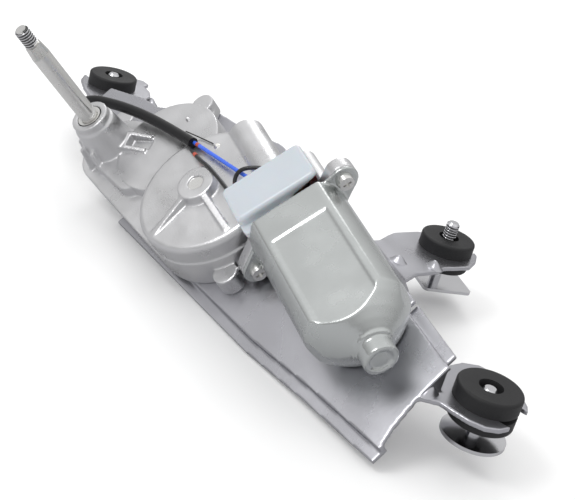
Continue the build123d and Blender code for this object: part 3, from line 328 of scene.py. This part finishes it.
def thread_ridge(name, foot, direction, radius, pitch, turns, crest, material, body):
    """A helical ridge round an axis from its foot upwards, for a thread's crest or the painted shade in its
    root.
    """
    tree = bpy.data.node_groups.new(name + "_nodes", "GeometryNodeTree")
    values = {"Turns": turns, "Pitch": pitch, "Radius": radius, "Crest": crest}
    for label in values:
        tree.interface.new_socket(label, in_out="INPUT", socket_type="NodeSocketFloat")
    tree.interface.new_socket("Geometry", in_out="OUTPUT", socket_type="NodeSocketGeometry")
    given, made = tree.nodes.new("NodeGroupInput"), tree.nodes.new("NodeGroupOutput")
    rise = tree.nodes.new("ShaderNodeMath")
    rise.operation = "MULTIPLY"
    tree.links.new(given.outputs["Turns"], rise.inputs[0])
    tree.links.new(given.outputs["Pitch"], rise.inputs[1])
    helix = tree.nodes.new("GeometryNodeCurveSpiral")
    helix.inputs["Resolution"].default_value = helix_steps
    tree.links.new(given.outputs["Turns"], helix.inputs["Rotations"])
    tree.links.new(given.outputs["Radius"], helix.inputs["Start Radius"])
    tree.links.new(given.outputs["Radius"], helix.inputs["End Radius"])
    tree.links.new(rise.outputs[0], helix.inputs["Height"])
    section = tree.nodes.new("GeometryNodeCurvePrimitiveCircle")
    section.inputs["Resolution"].default_value = section_steps
    tree.links.new(given.outputs["Crest"], section.inputs["Radius"])
    sweep = tree.nodes.new("GeometryNodeCurveToMesh")
    sweep.inputs["Fill Caps"].default_value = True
    tree.links.new(helix.outputs["Curve"], sweep.inputs["Curve"])
    tree.links.new(section.outputs["Curve"], sweep.inputs["Profile Curve"])
    realize = tree.nodes.new("GeometryNodeRealizeInstances")
    tree.links.new(sweep.outputs["Mesh"], realize.inputs["Geometry"])
    paint = tree.nodes.new("GeometryNodeSetMaterial")
    paint.inputs["Material"].default_value = material
    tree.links.new(realize.outputs["Geometry"], paint.inputs["Geometry"])
    tree.links.new(paint.outputs["Geometry"], made.inputs[0])
    carrier = bpy.data.objects.new(name + "_carrier", bpy.data.meshes.new(name + "_carrier"))
    bpy.context.scene.collection.objects.link(carrier)
    modifier = carrier.modifiers.new("thread", "NODES")
    modifier.node_group = tree
    for item in tree.interface.items_tree:
        if item.in_out == "INPUT":
            modifier[item.identifier] = float(values[item.name])
    depsgraph = bpy.context.evaluated_depsgraph_get()
    mesh = bpy.data.meshes.new_from_object(carrier.evaluated_get(depsgraph))
    bpy.data.objects.remove(carrier)
    mesh.transform(Matrix.Translation(foot) @ upwards.rotation_difference(direction).to_matrix().to_4x4())
    mesh.polygons.foreach_set("use_smooth", [True] * len(mesh.polygons))
    piece = bpy.data.objects.new(name, mesh)
    bpy.context.scene.collection.objects.link(piece)
    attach(piece, body)
    return piece


# Painted shade: a dark helix laid in the thread's root, between the bright crests.
painted_root_shade = surface("painted root shade", (0.10, 0.10, 0.10), metallic=0.8, roughness=0.45, relief=0.1)
bolt_foot = Vector((0.1085, 0.140, -0.0131))
crest_line, crest_size = 0.00295, 0.00028
root_line, root_size = 0.0028, 0.00031
thread_pitch = 0.00125
half_pitch = 0.00062
thread_ridge("bolt_crest", bolt_foot, upwards, crest_line, thread_pitch, 5.6, crest_size, chrome, "stud_b")
# Painted shade in the root of the stud's thread.
thread_ridge("bolt_root_shade", bolt_foot + upwards * half_pitch, upwards, root_line, thread_pitch, 5, root_size,
             painted_root_shade, "stud_b")

# ---------------------------------------------------------------- output shaft and linkage
# Turned and ground steel: the shaft with its rolled end thread, levers, pins, washers, clips and
# screws, and the motor's shaft.
turned = surface("turned steel", (0.78, 0.775, 0.76), metallic=1.0, roughness=0.22, grain=2500, relief=0.08,
                 mottle=0.05)
dress(turned, "output_shaft", "output_lever", "lever_pin", "crank_pin", "lever_washer", "shaft_clip",
      "wheel_axle", "wheel_clip", "case_screws", "yoke_screws", "motor_shaft", "thrust_disc", "brush_springs")
thread_ridge("shaft_crest", on_unit(0, 0, 85.6), shaft_dir, crest_line, thread_pitch, 6.4, crest_size,
             chrome, "output")
# Painted shade in the root of the shaft's thread.
thread_ridge("shaft_root_shade", on_unit(0, 0, 86.2), shaft_dir, root_line, thread_pitch, 6, root_size,
             painted_root_shade, "output")

# ---------------------------------------------------------------- motor yoke
# A deep-drawn steel can, zinc plated, with a soft sheen. Its drawn edges are round, and two screws
# hold its flange to the case.
zinc = surface("zinc yoke", (0.56, 0.58, 0.575), metallic=0.95, roughness=0.25, grain=1100, relief=0.07,
               mottle=0.06)
dress(zinc, "yoke")
softened("yoke", voxel=0.0005, passes=4, keep=0.4, material=zinc)

# ---------------------------------------------------------------- terminal cover
# Milky, slightly blue plastic, thin enough for light to pass at its edges. It clips over the
# neck's window.
milky = surface("milky plastic", (0.50, 0.54, 0.58), roughness=0.20, grain=700, relief=0.04, mottle=0.05,
                Subsurface_Weight=0.25, Subsurface_Scale=0.003)
dress(milky, "terminal_cover")
softened("terminal_cover", voxel=0.00045, passes=3, keep=0.5, material=milky)

# ---------------------------------------------------------------- worm wheel
# Acetal, moulded in one piece with its teeth. It turns on a steel axle pressed into the dome's
# boss.
acetal = surface("wheel plastic", (0.74, 0.71, 0.62), roughness=0.42, relief=0.05)
dress(acetal, "worm_wheel")

# ---------------------------------------------------------------- rotor
# Stacked iron sheets wound with lacquered copper, and the copper bars of the commutator. The
# terminals are of copper too.
stacked = surface("stacked iron", (0.25, 0.25, 0.27), metallic=0.9, roughness=0.5, relief=0.2)
dress(stacked, "rotor_core")
copper = surface("lacquered copper", (0.62, 0.30, 0.14), metallic=1.0, roughness=0.32, stretch=(1, 1, 4),
                 relief=0.3)
dress(copper, "rotor_windings", "commutator", "terminals")

# ---------------------------------------------------------------- bushes
# Sintered bronze, dull and porous, so that it holds oil. They are pressed into the tower, the
# tunnel and the yoke.
bronze = surface("sintered bronze", (0.50, 0.36, 0.20), metallic=0.9, roughness=0.5, grain=2500, relief=0.3)
dress(bronze, "bush_lower", "bush_upper", "front_bush", "middle_bush", "rear_bush")

# ---------------------------------------------------------------- magnets and brushes
# Dark ferrite shells glued into the yoke, carbon brushes, and the moulded card that holds the
# brushes.
ferrite = surface("dark ferrite", (0.05, 0.05, 0.055), roughness=0.6, relief=0.2, mottle=0.2)
dress(ferrite, "magnet_near", "magnet_far", "brush_near", "brush_far")
card = surface("card plastic", (0.03, 0.03, 0.033), roughness=0.5, relief=0.15, mottle=0.2)
dress(card, "brush_card")

# ---------------------------------------------------------------- floor
# White paper that keeps a soft shadow. It looks darker in reflections than to the eye, as a
# paper under a narrow lamp does.
floor_mesh = bpy.data.meshes.new("floor")
reach = 6.0
floor_corners = [(-reach, -reach, 0), (reach, -reach, 0), (reach, reach, 0), (-reach, reach, 0)]
floor_mesh.from_pydata(floor_corners, [], [(0, 1, 2, 3)])
floor = bpy.data.objects.new("floor", floor_mesh)
floor.location.z = floor_z
paper = surface("white paper", (0.95, 0.95, 0.95), roughness=0.7, mottle=0.004, relief=0.0)
paper_tree = paper.node_tree
paper_path = paper_tree.nodes.new("ShaderNodeLightPath")
paper_mix = paper_tree.nodes.new("ShaderNodeMixShader")
paper_dark = paper_tree.nodes.new("ShaderNodeBsdfDiffuse")
paper_dark.inputs["Color"].default_value = (0.50, 0.50, 0.51, 1)
paper_tree.links.new(paper_path.outputs["Is Glossy Ray"], paper_mix.inputs[0])
paper_tree.links.new(paper_tree.nodes["Principled BSDF"].outputs[0], paper_mix.inputs[1])
paper_tree.links.new(paper_dark.outputs[0], paper_mix.inputs[2])
paper_tree.links.new(paper_mix.outputs[0], paper_tree.nodes["Material Output"].inputs["Surface"])
floor_mesh.materials.append(paper)
bpy.context.scene.collection.objects.link(floor)

# ---------------------------------------------------------------- lights
# A white studio: the sky is white to the eye, and in reflections it darkens towards the horizon,
# which gives the metal its contrast. A key lamp stands in front and a weaker one behind.
world = bpy.data.worlds.new("studio")
bpy.context.scene.world = world
world.use_nodes = True
sky = world.node_tree
sky_place = sky.nodes.new("ShaderNodeTexCoord")
sky_split = sky.nodes.new("ShaderNodeSeparateXYZ")
sky.links.new(sky_place.outputs["Generated"], sky_split.inputs[0])
sky_ramp = sky.nodes.new("ShaderNodeMapRange")
sky_ramp.inputs["From Min"].default_value = -0.1
sky_ramp.inputs["From Max"].default_value = 0.75
sky_ramp.inputs["To Min"].default_value = 0.30
sky_ramp.inputs["To Max"].default_value = 0.92
sky.links.new(sky_split.outputs["Z"], sky_ramp.inputs["Value"])
sky_path = sky.nodes.new("ShaderNodeLightPath")
sky_level = sky.nodes.new("ShaderNodeMix")
sky_level.inputs["A"].default_value = 1.0
sky.links.new(sky_path.outputs["Is Glossy Ray"], sky_level.inputs["Factor"])
sky.links.new(sky_ramp.outputs["Result"], sky_level.inputs["B"])
sky.links.new(sky_level.outputs["Result"], sky.nodes["Background"].inputs["Strength"])
sky.nodes["Background"].inputs["Color"].default_value = (1, 1, 1, 1)
lamp_target = Vector((0.05, 0.05, 0))
for name, place, power, size in (
    ("key", (-0.1, -0.9, 1.1), 6, 0.5),
    ("rim", (-0.9, 0.7, 0.9), 2.5, 0.5),
):
    lamp_data = bpy.data.lights.new(name, "AREA")
    lamp_data.energy = power
    lamp_data.size = size
    lamp = bpy.data.objects.new(name, lamp_data)
    lamp.location = place
    lamp.rotation_euler = (lamp_target - Vector(place)).to_track_quat("-Z", "Y").to_euler()
    bpy.context.scene.collection.objects.link(lamp)
bpy.context.scene.view_settings.view_transform = "Standard"
